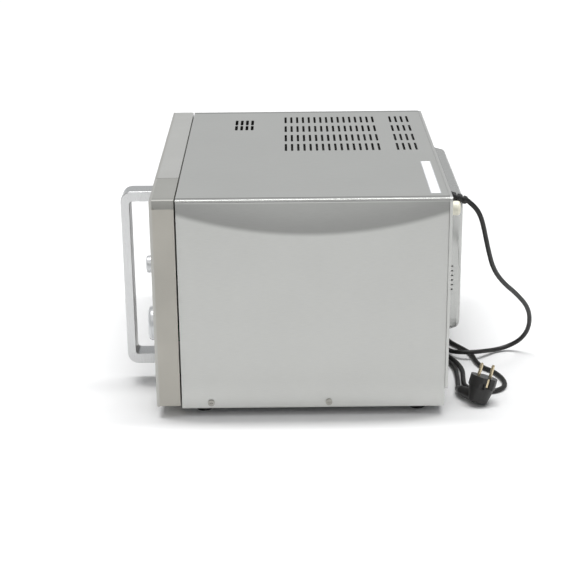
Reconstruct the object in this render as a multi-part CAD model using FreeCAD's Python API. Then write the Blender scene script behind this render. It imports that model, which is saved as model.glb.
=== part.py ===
import FreeCAD, Part
import math
import os
from FreeCAD import Vector

# Countertop combination oven. Millimetres, X to the right, Y to the rear, Z up.
# The origin lies on the floor under the middle of the oven.

# Overall sizes
WIDTH = 520.0
FOOT_HEIGHT = 13.0
BODY_TOP = 325.5
FASCIA_FRONT = -201.5
FRAME_FRONT = -197.5
FRAME_BACK = -167.5
SHELL_FRONT = -165.5
SHELL_BACK = 211.2
REAR_FACE = 215.5
FRAME_BOTTOM = 17.5
PANEL_LEFT = 146.0
GAP = 0.5

# Sheet metal
SHEET = 0.8
PLATE = 1.2
SIDE_RECESS = 3.5
SHELL_SIDE = WIDTH / 2 - SIDE_RECESS
REAR_EDGE = WIDTH / 2 - 1.5
SKIRT_BOTTOM = 39.0
SKIRT_BACK = 211.6
EDGE_RADIUS = 3.0
RIM_RADIUS = 5.0
STRIP_BOTTOM = 321.5
ARC_RADIUS = 600.0
ARC_SLOPE = 4.0
ARC_CENTRE_Y = 22.0
ARC_CENTRE_Z = 875.0

# Oven cavity, inside faces
CAVITY_LEFT = -245.0
CAVITY_RIGHT = 85.0
CAVITY_FLOOR = 52.0
CAVITY_CEILING = 268.0
CAVITY_BACK = 170.0
CAVITY_X = (CAVITY_LEFT + CAVITY_RIGHT) / 2
CAVITY_Z = (CAVITY_FLOOR + CAVITY_CEILING) / 2

# Turntable
TRAY_Y = 3.0
TRAY_RADIUS = 150.0
RING_RADIUS = 104.0
ROLLER_RADIUS = 6.6

# Rear duct cover over the convection motor
DUCT_LEFT = -233.0
DUCT_RIGHT = 76.0
DUCT_BOTTOM = 45.0
DUCT_TOP = 279.0
DUCT_BACK = 253.5

# Door and handle
DOOR_LEFT = -WIDTH / 2
DOOR_RIGHT = PANEL_LEFT - GAP
DOOR_RIM = 40.0
GLASS_LEFT = -231.0
GLASS_RIGHT = 97.0
GLASS_BOTTOM = 48.0
GLASS_TOP = 294.0
HINGE_X = DOOR_LEFT + 8.0
HINGE_Y = FRAME_BACK - 14.0
PIN_RADIUS = 3.0
RUNNING_FIT = 0.05
HINGE_HEIGHTS = (30.0, 313.0)
LATCH_HEIGHTS = (95.0, 245.0)
HANDLE_LEFT = 105.0
HANDLE_RIGHT = 138.0
HANDLE_FRONT = -253.5
HANDLE_BACK = -240.5
HANDLE_BOTTOM = 34.5
HANDLE_TOP = 303.0
HANDLE_LEG = 15.0

# Control panel
KNOB_X = 204.0
UPPER_KNOB_Z = 215.0
LOWER_KNOB_Z = 125.0
KNOB_LENGTH = 10.5
BUTTON_PLACES = ((KNOB_X - 24.0, 64.0), (KNOB_X + 24.0, 64.0))

# Wall spacer on the rear panel
SPACER_X = 205.0
SPACER_Z = 294.0
SPACER_RADIUS = 10.2
SPACER_LENGTH = 16.5

# Mains lead
CORD_DIAMETER = 7.0
RELIEF_X = 185.0
RELIEF_Z = 307.0
RELIEF_RIBS = ((4.4, 6.6, 7.0), (14.3, 6.6, 6.6), (23.5, 4.7, 6.0))
PLUG_FACE = Vector(217.0, 273.4, 41.0)
PLUG_DIRECTION = Vector(-0.20, 0.27, 0.94)
PLUG_TWIST = 17.0
PLUG_LENGTH = 38.0
PLUG_RADIUS = 19.8
PLUG_FLAT = 17.5
PIN_SPACING = 19.0
PLUG_PIN_RADIUS = 2.4
SLEEVE_ROOT = (223.0, 260.0, 12.5)
SLEEVE_ELBOW = (198.0, 244.0, 10.0)

CORD_ROUTE = [
    (185.0, 244.5, 298.8), (184.8, 255.5, 289.5), (183.0, 264.5, 275.0), (176.0, 271.5, 250.0),
    (162.0, 279.5, 218.0), (144.0, 290.5, 181.5), (122.0, 309.5, 151.5), (94.0, 336.5, 122.0),
    (66.0, 360.0, 88.0), (42.0, 366.5, 49.0), (25.0, 357.0, 21.0), (19.0, 336.0, 6.6),
    (28.0, 314.0, 4.6), (42.0, 298.0, 9.0), (55.0, 283.0, 12.2), (56.5, 264.0, 12.0),
    (45.5, 248.0, 9.0), (24.0, 239.5, 4.6), (-8.0, 235.0, 3.8), (-46.0, 227.5, 3.8),
    (-88.0, 216.0, 3.8), (-122.0, 205.0, 3.8), (-152.0, 199.0, 3.8), (-178.0, 205.0, 3.8),
    (-196.0, 227.0, 3.8), (-193.0, 254.0, 3.8), (-171.0, 270.0, 3.8), (-143.0, 267.0, 3.8),
    (-112.0, 256.0, 3.8), (-80.0, 246.0, 3.8), (-46.0, 240.5, 3.8), (-12.0, 245.5, 3.8),
    (16.0, 263.0, 3.8), (41.0, 278.0, 3.8), (70.0, 279.5, 3.8), (95.0, 286.0, 3.8),
    (112.0, 302.0, 3.8), (140.0, 309.5, 3.8), (170.0, 309.0, 3.8), (188.2, 292.5, 3.8),
    (188.2, 269.8, 3.8), (171.0, 254.6, 3.8), (140.0, 257.0, 3.8), (106.0, 256.0, 3.8),
    (74.0, 249.5, 3.8), (46.0, 237.0, 3.8), (17.0, 219.0, 3.8), (-2.0, 193.0, 3.8),
    (-2.0, 168.0, 3.8), (15.0, 151.0, 3.8), (39.0, 151.0, 3.8), (56.0, 168.0, 3.8),
    (58.0, 193.0, 3.8), (56.0, 218.0, 3.8), (71.0, 239.0, 3.8), (98.0, 245.0, 3.8),
    (126.0, 245.0, 4.0), (152.0, 243.0, 4.8), (168.0, 241.4, 5.6), (181.0, 240.0, 6.4),
]


# ---- general shapes ----

def box(x0, x1, y0, y1, z0, z1):
    """A box between two corners."""
    return Part.makeBox(x1 - x0, y1 - y0, z1 - z0, Vector(x0, y0, z0))


def rod(radius, start, end):
    """A round bar from one point to another."""
    start = Vector(*start)
    run = Vector(*end) - start
    return Part.makeCylinder(radius, run.Length, start, run)


def taper(radius_0, radius_1, start, end):
    """A cone frustum from one point to another."""
    start = Vector(*start)
    run = Vector(*end) - start
    return Part.makeCone(radius_0, radius_1, run.Length, start, run)


def join(shapes):
    """One solid made of shapes that touch or overlap."""
    shapes = list(shapes)
    whole = shapes[0].multiFuse(shapes[1:])
    return whole.removeSplitter()


def rounded_box(x0, x1, y0, y1, z0, z1, radius, along):
    """A box whose four edges parallel to one axis are rounded."""
    body = box(x0, x1, y0, y1, z0, z1)
    edges = [e for e in body.Edges if abs(e.tangentAt(e.FirstParameter).dot(along)) > 0.99]
    return body.makeFillet(radius, edges)


def arc_path(points, closed=False):
    """Straight runs joined by tangent arcs; gives the wire and the arcs' radii."""
    points = [Vector(*p) for p in points]
    count = len(points)
    corners = range(count) if closed else range(1, count - 1)
    bends = {}
    for i in corners:
        before = points[i - 1] - points[i]
        after = points[(i + 1) % count] - points[i]
        shorter = min(before.Length, after.Length)
        before.normalize()
        after.normalize()
        half_turn = (math.pi - before.getAngle(after)) / 2
        reach = 0.45 * shorter
        middle = before + after
        middle.normalize()
        radius = reach / math.tan(half_turn)
        depth = radius / math.cos(half_turn) - radius
        bends[i] = (points[i] + before * reach, points[i] + middle * depth, points[i] + after * reach, radius)
    edges = []
    if closed:
        last = bends[count - 1][2]
    else:
        last = points[0]
    for i in corners:
        enter, middle, leave, radius = bends[i]
        edges.append(Part.LineSegment(last, enter).toShape())
        edges.append(Part.Arc(enter, middle, leave).toShape())
        last = leave
    if not closed:
        edges.append(Part.LineSegment(last, points[-1]).toShape())
    return Part.Wire(edges), [bends[i][3] for i in corners]


def tube(points, radius, closed=False):
    """A round tube along tangent runs and arcs."""
    path, radii = arc_path(points, closed)
    first = path.Edges[0]
    start = first.valueAt(first.FirstParameter)
    direction = first.tangentAt(first.FirstParameter)
    section = Part.Wire(Part.makeCircle(radius, start, direction))
    return path.makePipeShell([section], True, True), path, radii


def screw(point, outward, head_radius, head_height, shank_radius, shank_length):
    """A pan-head screw with a cross recess; point lies under the head."""
    point = Vector(*point)
    outward = Vector(*outward)
    head = Part.makeCylinder(head_radius, head_height, point, outward)
    shank = Part.makeCylinder(shank_radius, shank_length, point, outward * -1)
    side = Vector(outward.y, outward.z, outward.x)
    other = outward.cross(side)
    slots = []
    for a, b in ((side, other), (other, side)):
        long_half = head_radius * 0.5
        thin_half = 0.45
        corners = [a * long_half + b * thin_half, a * long_half - b * thin_half,
                   a * -long_half - b * thin_half, a * -long_half + b * thin_half]
        base = point + outward * (head_height * 0.45)
        face = Part.Face(Part.makePolygon([base + c for c in corners] + [base + corners[0]]))
        slots.append(face.extrude(outward * head_height))
    return head.fuse(shank).cut(slots[0].fuse(slots[1]))


def slot_cutter(x0, x1, y, width, z0, z1):
    """A round-ended slot along X, for cutting a sheet that lies flat."""
    return rounded_box(x0, x1, y - width / 2, y + width / 2, z0, z1, width * 0.49, Vector(0, 0, 1))


# ---- outer shell ----

def shell_block(inset):
    """The shell's outer form, taken in by a distance: recessed sides under a full-width top strip."""
    side = SHELL_SIDE - inset
    edge = WIDTH / 2 - inset
    overrun = 1.0 if inset else 0.0
    front = SHELL_FRONT - overrun
    back = SHELL_BACK + overrun
    step = STRIP_BOTTOM + inset
    top = BODY_TOP - inset
    strip = box(-edge, edge, front, back, step, top)
    top_edges = [e for e in strip.Edges if abs(e.CenterOfMass.z - top) < 0.01 and abs(e.CenterOfMass.x) > side]
    strip = strip.makeFillet(EDGE_RADIUS - inset, top_edges)
    body = box(-side, side, front, back, FOOT_HEIGHT - overrun, step).fuse(strip)
    swell_radius = ARC_RADIUS - SIDE_RECESS / math.tan(math.radians(ARC_SLOPE))
    limit = box(-edge, edge, front, back, FOOT_HEIGHT, step)
    for sign in (-1, 1):
        root = Vector(sign * side, ARC_CENTRE_Y, ARC_CENTRE_Z)
        swell = Part.makeCone(ARC_RADIUS, swell_radius, SIDE_RECESS, root, Vector(sign, 0, 0))
        body = body.fuse(swell.common(limit))
    return body


def top_vents():
    """Three groups of vent slots in the shell's top, over the cavity and behind it."""
    z0 = BODY_TOP - 3.0
    z1 = BODY_TOP + 1.0
    cuts = []
    front_columns = ((-197.0, -165.0), (-160.0, -131.0))
    rear_columns = ((-217.0, -176.0), (-156.0, -117.0), (-98.0, -57.0), (-41.0, 1.0))
    for x0, x1 in front_columns:
        for row in range(4):
            cuts.append(slot_cutter(x0, x1, -92.2 + 8.5 * row, 4.5, z0, z1))
    for x0, x1 in rear_columns:
        for row in range(16):
            cuts.append(slot_cutter(x0, x1, -12.5 + 9.55 * row, 3.6, z0, z1))
        for row in range(4):
            cuts.append(slot_cutter(x0, x1, 159.5 + 9.4 * row, 3.6, z0, z1))
    return Part.makeCompound(cuts)


def shell():
    """The folded cover: top and both sides in one sheet, with the pressed arc on each side."""
    cover = shell_block(0.0).cut(shell_block(SHEET))
    cover = cover.cut(top_vents())
    corner = 6.0
    for sign in (-1, 1):
        x = sign * WIDTH / 2
        notch = Part.Face(Part.makePolygon([
            Vector(x - 4, SHELL_BACK + 1, FOOT_HEIGHT - 1), Vector(x - 4, SHELL_BACK - corner, FOOT_HEIGHT - 1),
            Vector(x - 4, SHELL_BACK + 1, FOOT_HEIGHT + corner), Vector(x - 4, SHELL_BACK + 1, FOOT_HEIGHT - 1)]))
        cover = cover.cut(notch.extrude(Vector(8, 0, 0)))
    for hole in side_screw_places():
        cover = cover.cut(rod(1.6, (hole[0] - 6, hole[1], hole[2]), (hole[0] + 6, hole[1], hole[2])))
    return cover


def side_screw_places():
    """Where the shell is screwed to the base on both sides."""
    return [(sign * SHELL_SIDE, y, FOOT_HEIGHT + 8.2) for sign in (-1, 1) for y in (-123.5, 45.5)]


def side_screws():
    """Screws through the shell's lower edge."""
    return Part.makeCompound([screw(p, (math.copysign(1, p[0]), 0, 0), 4.8, 2.0, 1.55, 4.0)
                              for p in side_screw_places()])


def base_plate():
    """The bottom plate with upturned sides that the shell is screwed to."""
    side = SHELL_SIDE - SHEET
    plate = box(-side, side, -160.0, 210.0, FOOT_HEIGHT, FOOT_HEIGHT + PLATE)
    for x0, x1 in ((-side, -side + PLATE), (side - PLATE, side)):
        plate = plate.fuse(box(x0, x1, -160.0, 202.0, FOOT_HEIGHT, FOOT_HEIGHT + 16.0))
    for hole in side_screw_places():
        plate = plate.cut(rod(1.6, (hole[0] - 6, hole[1], hole[2]), (hole[0] + 6, hole[1], hole[2])))
    for row in range(8):
        y = 60.0 + 9.0 * row
        plate = plate.cut(slot_cutter(150.0, 215.0, y, 4.0, FOOT_HEIGHT - 1, FOOT_HEIGHT + 3))
    for x, y in foot_places():
        plate = plate.cut(rod(2.55, (x, y, FOOT_HEIGHT - 1), (x, y, FOOT_HEIGHT + 3)))
    return plate


def foot_places():
    """The centres of the four feet."""
    return [(x, y) for x in (-225.0, 225.0) for y in (-135.0, 175.0)]


def feet():
    """Turned plastic feet with a stem that snaps into the base plate."""
    pieces = []
    for x, y in foot_places():
        pad = taper(12.0, 14.0, (x, y, 0), (x, y, FOOT_HEIGHT))
        stem = rod(2.5, (x, y, FOOT_HEIGHT - 1), (x, y, FOOT_HEIGHT + 5))
        pieces.append(pad.fuse(stem))
    return Part.makeCompound(pieces)


def rear_panel():
    """The rear panel: a plate whose rim turns forward to meet the shell, stepped in near the floor."""
    upper = box(-REAR_EDGE, REAR_EDGE, SHELL_BACK + 0.3, REAR_FACE, SKIRT_BOTTOM, BODY_TOP)
    rounding = [e for e in upper.Edges if abs(e.tangentAt(e.FirstParameter).y) > 0.99]
    upper = upper.makeFillet(RIM_RADIUS, rounding)
    rim = 3.0
    inner = box(-REAR_EDGE + rim, REAR_EDGE - rim, SHELL_BACK, REAR_FACE - PLATE, SKIRT_BOTTOM + rim, BODY_TOP - rim)
    half = SHELL_SIDE - SHEET - 0.2
    lower = box(-half, half, SKIRT_BACK - PLATE, SKIRT_BACK, FOOT_HEIGHT + PLATE, SKIRT_BOTTOM + rim)
    foot = box(-half, half, SKIRT_BACK - 8.0, SKIRT_BACK, FOOT_HEIGHT + PLATE, FOOT_HEIGHT + 2 * PLATE)
    panel = upper.cut(inner).fuse(lower).fuse(foot)
    panel = panel.cut(rod(10.0, (CAVITY_X, 205, CAVITY_Z), (CAVITY_X, 220, CAVITY_Z)))
    panel = panel.cut(rod(7.6, (RELIEF_X, 205, RELIEF_Z), (RELIEF_X, 220, RELIEF_Z)))
    panel = panel.cut(rod(3.0, (SPACER_X, 205, SPACER_Z), (SPACER_X, 220, SPACER_Z)))
    for row in range(14):
        z = 150.0 + 6.5 * row
        slot = rounded_box(135.0, 225.0, 210.0, 218.0, z - 1.6, z + 1.6, 1.5, Vector(0, 1, 0))
        panel = panel.cut(slot)
    for x, y, z in rear_screw_places() + duct_screw_places():
        panel = panel.cut(rod(1.6, (x, y - 6, z), (x, y + 2, z)))
    return panel


def rear_screw_places():
    """Rear panel screws, under their heads."""
    upper = [(-235.0, 304.0), (0.0, 312.0), (232.0, 300.0), (235.0, 60.0)]
    lower = [(-230.0, 27.0), (0.0, 27.0), (230.0, 27.0)]
    return [(x, REAR_FACE, z) for x, z in upper] + [(x, SKIRT_BACK, z) for x, z in lower]


def duct_screw_places():
    """Screws through the duct cover's flange, on the rear panel's face."""
    return [(x, REAR_FACE, z) for x in (DUCT_LEFT - 5, DUCT_RIGHT + 5) for z in (DUCT_BOTTOM + 30, DUCT_TOP - 30)]


def rear_screws():
    """Screws in the rear panel and in the duct cover's flange."""
    rim = [screw(p, (0, 1, 0), 3.8, 1.8, 1.55, 5.0) for p in rear_screw_places()]
    flange = [screw((x, y + PLATE, z), (0, 1, 0), 3.8, 1.8, 1.55, 6.0) for x, y, z in duct_screw_places()]
    return Part.makeCompound(rim + flange)


def rear_spacer():
    """The moulded spacer that keeps the oven off the wall, with a stem that snaps into the rear panel."""
    body = rod(SPACER_RADIUS, (SPACER_X, REAR_FACE, SPACER_Z), (SPACER_X, REAR_FACE + SPACER_LENGTH, SPACER_Z))
    end = [e for e in body.Edges if e.BoundBox.YMin > REAR_FACE + SPACER_LENGTH - 0.01]
    body = body.makeFillet(4.0, end)
    dimple = rod(3.5, (SPACER_X, REAR_FACE + SPACER_LENGTH - 2.0, SPACER_Z),
                 (SPACER_X, REAR_FACE + SPACER_LENGTH + 1.0, SPACER_Z))
    stem = rod(2.95, (SPACER_X, REAR_FACE - 5.0, SPACER_Z), (SPACER_X, REAR_FACE, SPACER_Z))
    return body.cut(dimple).fuse(stem)


def duct_form(inset):
    """The duct cover's tapered form with rounded corners, taken in by a distance."""
    lean = 9.0

    def outline(y, shrink, radius):
        x0 = DUCT_LEFT + shrink
        x1 = DUCT_RIGHT - shrink
        z0 = DUCT_BOTTOM + shrink
        z1 = DUCT_TOP - shrink
        slab = rounded_box(x0, x1, y - 1, y, z0, z1, radius, Vector(0, 1, 0))
        face = max(slab.Faces, key=lambda f: f.CenterOfMass.y)
        return face.OuterWire
    front = REAR_FACE - (1.0 if inset else 0.0)
    form = Part.makeLoft([outline(front, inset, 26.0), outline(DUCT_BACK - inset, inset + lean, 22.0)], True)
    rim = [e for e in form.Edges if e.BoundBox.YMin > DUCT_BACK - inset - 0.01]
    return form.makeFillet(8.0 - inset, rim)


def duct_cover():
    """The pressed cover over the convection motor, with vent slots and four screw tabs."""
    cover = duct_form(0.0)
    tabs = [box(x - 8, x + 8, REAR_FACE, REAR_FACE + PLATE, z - 9, z + 9) for x, y, z in duct_screw_places()]
    cover = join([cover] + tabs).cut(duct_form(PLATE))
    for side in (DUCT_LEFT - 2, DUCT_RIGHT - 14):
        for row in range(6):
            z = 122.0 + 7.5 * row
            cover = cover.cut(box(side, side + 16, REAR_FACE + 21.0, REAR_FACE + 25.0, z, z + 2.2))
    for column in range(16):
        x = -170.0 + 12.0 * column
        cover = cover.cut(box(x, x + 4, DUCT_BACK - 3, DUCT_BACK + 1, 110.0, 215.0))
    for x, y, z in duct_screw_places():
        cover = cover.cut(rod(1.6, (x, y - 1, z), (x, y + 4, z)))
    return cover


def top_label():
    """A blank adhesive label on the top, near the rear."""
    return box(69.0, 237.0, 187.0, 201.5, BODY_TOP, BODY_TOP + 0.15)


# ---- cavity and chassis ----

def front_plate():
    """The chassis front plate around the cavity's mouth, with the latch slots."""
    side = SHELL_SIDE - SHEET - 0.3
    plate = box(-side, side, SHELL_FRONT, SHELL_FRONT + PLATE, FOOT_HEIGHT + PLATE, BODY_TOP - SHEET - 0.3)
    corners = [e for e in plate.Edges
               if abs(e.tangentAt(e.FirstParameter).y) > 0.99 and e.CenterOfMass.z > BODY_TOP - 5]
    plate = plate.makeFillet(RIM_RADIUS, corners)
    mouth = box(CAVITY_LEFT, CAVITY_RIGHT, SHELL_FRONT - 1, SHELL_FRONT + 3, CAVITY_FLOOR, CAVITY_CEILING)
    plate = plate.cut(mouth)
    for z in LATCH_HEIGHTS:
        plate = plate.cut(box(109.0, 125.0, SHELL_FRONT - 1, SHELL_FRONT + 3, z - 13, z + 13))
    plate = plate.cut(box(152.0, 250.0, SHELL_FRONT - 1, SHELL_FRONT + 3, 60.0, 290.0))
    return plate


def cavity():
    """The oven cavity: an open-fronted box with its fan, lamp and wave openings."""
    front = SHELL_FRONT + PLATE
    outside = box(CAVITY_LEFT - 1, CAVITY_RIGHT + 1, front, CAVITY_BACK + 1, CAVITY_FLOOR - 1, CAVITY_CEILING + 1)
    inside = box(CAVITY_LEFT, CAVITY_RIGHT, front - 1, CAVITY_BACK, CAVITY_FLOOR, CAVITY_CEILING)
    body = outside.cut(inside)
    body = body.cut(rod(8.0, (CAVITY_X, TRAY_Y, CAVITY_FLOOR - 3), (CAVITY_X, TRAY_Y, CAVITY_FLOOR + 3)))
    body = body.cut(box(CAVITY_RIGHT - 2, CAVITY_RIGHT + 3, -18.0, 48.0, 112.0, 168.0))
    holes = []
    for ring_radius, count in ((0.0, 1), (12.0, 6), (24.0, 12), (36.0, 18), (48.0, 24)):
        for i in range(count):
            angle = 2 * math.pi * i / count
            x = CAVITY_X + ring_radius * math.cos(angle)
            z = CAVITY_Z + ring_radius * math.sin(angle)
            holes.append(rod(2.6, (x, CAVITY_BACK - 2, z), (x, CAVITY_BACK + 3, z)))
    for i in range(24):
        angle = 2 * math.pi * i / 24
        x = CAVITY_X + 92.0 * math.cos(angle)
        z = CAVITY_Z + 92.0 * math.sin(angle)
        holes.append(rod(3.4, (x, CAVITY_BACK - 2, z), (x, CAVITY_BACK + 3, z)))
    for row in range(3):
        for column in range(5):
            y = 70.0 + 6.0 * column
            z = 226.0 + 6.0 * row
            holes.append(rod(1.8, (CAVITY_RIGHT - 2, y, z), (CAVITY_RIGHT + 3, y, z)))
    return body.cut(Part.makeCompound(holes))


def fan_housing():
    """The convection fan's round housing on the cavity's rear wall."""
    y0 = CAVITY_BACK + 1.0
    y1 = 206.0
    drum = rod(104.0, (CAVITY_X, y0, CAVITY_Z), (CAVITY_X, y1, CAVITY_Z))
    hollow = rod(103.0, (CAVITY_X, y0 - 1, CAVITY_Z), (CAVITY_X, y1 - 1, CAVITY_Z))
    housing = drum.cut(hollow)
    bore = rod(6.5, (CAVITY_X, y0, CAVITY_Z), (CAVITY_X, y1 + 2, CAVITY_Z))
    return housing.cut(bore)


def convection_fan():
    """The hot-air fan: a bladed disc, its shaft and the small motor-cooling fan behind it."""
    centre = (CAVITY_X, 180.0, CAVITY_Z)
    disc = rod(74.0, (CAVITY_X, 197.0, CAVITY_Z), (CAVITY_X, 198.2, CAVITY_Z))
    hub = rod(9.0, (CAVITY_X, 178.0, CAVITY_Z), (CAVITY_X, 199.5, CAVITY_Z))
    shaft = rod(4.0, (CAVITY_X, 178.0, CAVITY_Z), (CAVITY_X, 247.0, CAVITY_Z))
    parts = [disc, hub, shaft]
    for i in range(10):
        blade = box(CAVITY_X + 28.0, CAVITY_X + 73.0, 179.0, 197.4, CAVITY_Z - 0.5, CAVITY_Z + 0.5)
        blade.rotate(Vector(CAVITY_X + 50.0, 180.0, CAVITY_Z), Vector(0, 1, 0), 22)
        blade.rotate(Vector(*centre), Vector(0, 1, 0), 36 * i)
        parts.append(blade)
    return join(parts)


def convection_motor():
    """The shaded-pole motor in the duct cover that turns the hot-air fan."""
    y0 = REAR_FACE
    stack = rounded_box(CAVITY_X - 30, CAVITY_X + 30, y0 + 6, y0 + 24, CAVITY_Z - 40, CAVITY_Z + 26, 4.0,
                        Vector(0, 1, 0))
    winding = rounded_box(CAVITY_X - 17, CAVITY_X + 17, y0 + 2, y0 + 28, CAVITY_Z - 44, CAVITY_Z - 28, 5.0,
                          Vector(0, 1, 0))
    bracket = box(CAVITY_X - 38, CAVITY_X + 38, y0, y0 + 1.5, CAVITY_Z - 12, CAVITY_Z + 12)
    posts = [rod(3.0, (CAVITY_X + s * 27, y0, CAVITY_Z), (CAVITY_X + s * 27, y0 + 8, CAVITY_Z)) for s in (-1, 1)]
    motor = join([stack, winding, bracket] + posts)
    return motor.cut(rod(4.05, (CAVITY_X, y0 - 1, CAVITY_Z), (CAVITY_X, DUCT_BACK, CAVITY_Z)))


def ring_heater():
    """The ring heater around the hot-air fan, with its two tails through the housing."""
    y = 188.0
    ring_radius = 88.0
    gap_angle = math.radians(9)
    sides = 16
    points = []
    for i in range(sides + 1):
        angle = -math.pi / 2 + gap_angle + (2 * math.pi - 2 * gap_angle) * i / sides
        points.append((CAVITY_X + ring_radius * math.cos(angle), y, CAVITY_Z + ring_radius * math.sin(angle)))
    body, path, radii = tube(points, 3.3)
    tails = [rod(3.3, p, (p[0], 205.0, p[2])) for p in (points[0], points[-1])]
    return join([body] + tails)


def grill_heater():
    """The sheathed grill element under the cavity's ceiling."""
    z = 257.0
    x0 = CAVITY_LEFT + 60
    x1 = CAVITY_RIGHT - 60
    points = [(x0, 168.0, z), (x0, -20.0, z), (x0 + 38, -60.0, z), (x0 + 75, -20.0, z),
              (x0 + 75, 60.0, z), (CAVITY_X, 92.0, z), (x1 - 75, 60.0, z), (x1 - 75, -20.0, z),
              (x1 - 38, -60.0, z), (x1, -20.0, z), (x1, 168.0, z)]
    body, path, radii = tube(points, 3.5)
    hangers = [box(x - 2, x + 2, 38.0, 41.0, z, CAVITY_CEILING) for x in (x0, x1)]
    return join([body] + hangers)


def wave_cover():
    """The mica sheet over the wave guide's opening."""
    return box(CAVITY_RIGHT - 0.8, CAVITY_RIGHT, -26.0, 56.0, 104.0, 176.0)


def lamp():
    """The cavity lamp behind its perforated patch, with its holder."""
    x0 = CAVITY_RIGHT + 1.0
    holder = box(x0, x0 + 30, 64.0, 100.0, 216.0, 248.0).cut(box(x0 - 1, x0 + 28, 66.0, 98.0, 218.0, 246.0))
    stem = rod(5.0, (x0 + 28, 82.0, 232.0), (x0 + 22, 82.0, 232.0))
    bulb = Part.makeSphere(8.0, Vector(x0 + 16, 82.0, 232.0))
    return join([holder, stem, bulb])


# ---- turntable ----

def turntable_motor():
    """The flat geared motor under the cavity floor, on two base brackets."""
    body = rod(25.0, (CAVITY_X, TRAY_Y, 34.0), (CAVITY_X, TRAY_Y, 50.4))
    ears = box(CAVITY_X - 34, CAVITY_X + 34, TRAY_Y - 7, TRAY_Y + 7, 49.4, CAVITY_FLOOR - 1)
    socket = rod(8.2, (CAVITY_X, TRAY_Y, 44.0), (CAVITY_X, TRAY_Y, 52.0))
    return body.fuse(ears).cut(socket)


def turntable_coupler():
    """The three-lobed driver on the motor's shaft."""
    hub = rod(6.0, (CAVITY_X, TRAY_Y, 45.0), (CAVITY_X, TRAY_Y, 62.0))
    lobes = []
    for i in range(3):
        lobe = box(CAVITY_X, CAVITY_X + 22.0, TRAY_Y - 4, TRAY_Y + 4, 55.0, 62.0)
        lobe = lobe.fuse(rod(4.0, (CAVITY_X + 22.0, TRAY_Y, 55.0), (CAVITY_X + 22.0, TRAY_Y, 62.0)))
        lobe.rotate(Vector(CAVITY_X, TRAY_Y, 0), Vector(0, 0, 1), 120 * i)
        lobes.append(lobe)
    return join([hub] + lobes)


def roller_ring():
    """The roller ring: a hoop with three arms and three wheels that carry the tray."""
    hoop = Part.makeTorus(RING_RADIUS - 14, 2.5, Vector(CAVITY_X, TRAY_Y, 59.0))
    parts = [hoop]
    for i in range(3):
        angle = math.radians(120 * i + 30)
        out = Vector(math.cos(angle), math.sin(angle), 0)
        centre = Vector(CAVITY_X, TRAY_Y, 59.0)
        start = centre + out * (RING_RADIUS - 14)
        axle = Part.makeCylinder(1.8, 22.0, start, out)
        wheel = Part.makeCylinder(ROLLER_RADIUS, 7.0, centre + out * (RING_RADIUS - 4), out)
        parts += [axle, wheel]
    return join(parts)


def glass_tray():
    """The round glass tray with a raised rim and three drive lugs beneath."""
    z0 = 65.9
    plate = rod(TRAY_RADIUS - 14, (CAVITY_X, TRAY_Y, z0), (CAVITY_X, TRAY_Y, z0 + 5.0))
    rim = taper(TRAY_RADIUS - 15, TRAY_RADIUS, (CAVITY_X, TRAY_Y, z0), (CAVITY_X, TRAY_Y, z0 + 16.0))
    well = taper(TRAY_RADIUS - 19.7, TRAY_RADIUS - 3.7, (CAVITY_X, TRAY_Y, z0 + 5.0), (CAVITY_X, TRAY_Y, z0 + 17.0))
    tray = plate.fuse(rim).cut(well)
    lugs = []
    for i in range(3):
        angle = math.radians(120 * i + 60)
        x = CAVITY_X + 17.0 * math.cos(angle)
        y = TRAY_Y + 17.0 * math.sin(angle)
        lugs.append(rod(4.0, (x, y, 58.0), (x, y, z0 + 1)))
    return join([tray] + lugs)


# ---- door ----

def door_frame():
    """The door's surround, with the hinge slots and the latch openings."""
    z0 = FRAME_BOTTOM
    z1 = BODY_TOP - 0.3
    frame = box(DOOR_LEFT, DOOR_RIGHT, FRAME_FRONT, FRAME_BACK, z0, z1)
    corner = [e for e in frame.Edges
              if abs(e.CenterOfMass.x - DOOR_LEFT) < 0.01 and abs(e.CenterOfMass.y - FRAME_BACK) < 0.01]
    frame = frame.makeFillet(5.0, corner)
    frame = frame.cut(box(DOOR_LEFT + DOOR_RIM, DOOR_RIGHT - DOOR_RIM, FRAME_FRONT - 1, FRAME_BACK + 1,
                          z0 + DOOR_RIM, z1 - DOOR_RIM))
    hollow_depth = FRAME_BACK - 12.0
    for x0, x1, h0, h1 in ((DOOR_LEFT + 22, DOOR_RIGHT - 3, z0 + 3, z0 + DOOR_RIM - 3),
                           (DOOR_LEFT + 22, DOOR_RIGHT - 3, z1 - DOOR_RIM + 3, z1 - 3),
                           (DOOR_RIGHT - DOOR_RIM + 3, DOOR_RIGHT - 3, z0 + 3, z1 - 3)):
        frame = frame.cut(box(x0, x1, FRAME_FRONT + 3, hollow_depth, h0, h1))
    for z in HINGE_HEIGHTS:
        frame = frame.cut(box(DOOR_LEFT - 1, HINGE_X + 9, HINGE_Y - 12, FRAME_BACK + 1, z - 1.6, z + 1.6))
        frame = frame.cut(rod(PIN_RADIUS + RUNNING_FIT, (HINGE_X, HINGE_Y, z - 7), (HINGE_X, HINGE_Y, z + 7)))
    for z in LATCH_HEIGHTS:
        frame = frame.cut(box(111.0, 123.0, hollow_depth - 5, FRAME_BACK + 1, z - 12, z + 12))
    for x, z in handle_screw_places():
        frame = frame.cut(rod(2.6, (x, FRAME_FRONT - 1, z), (x, FRAME_FRONT + 4, z)))
    return frame


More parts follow.
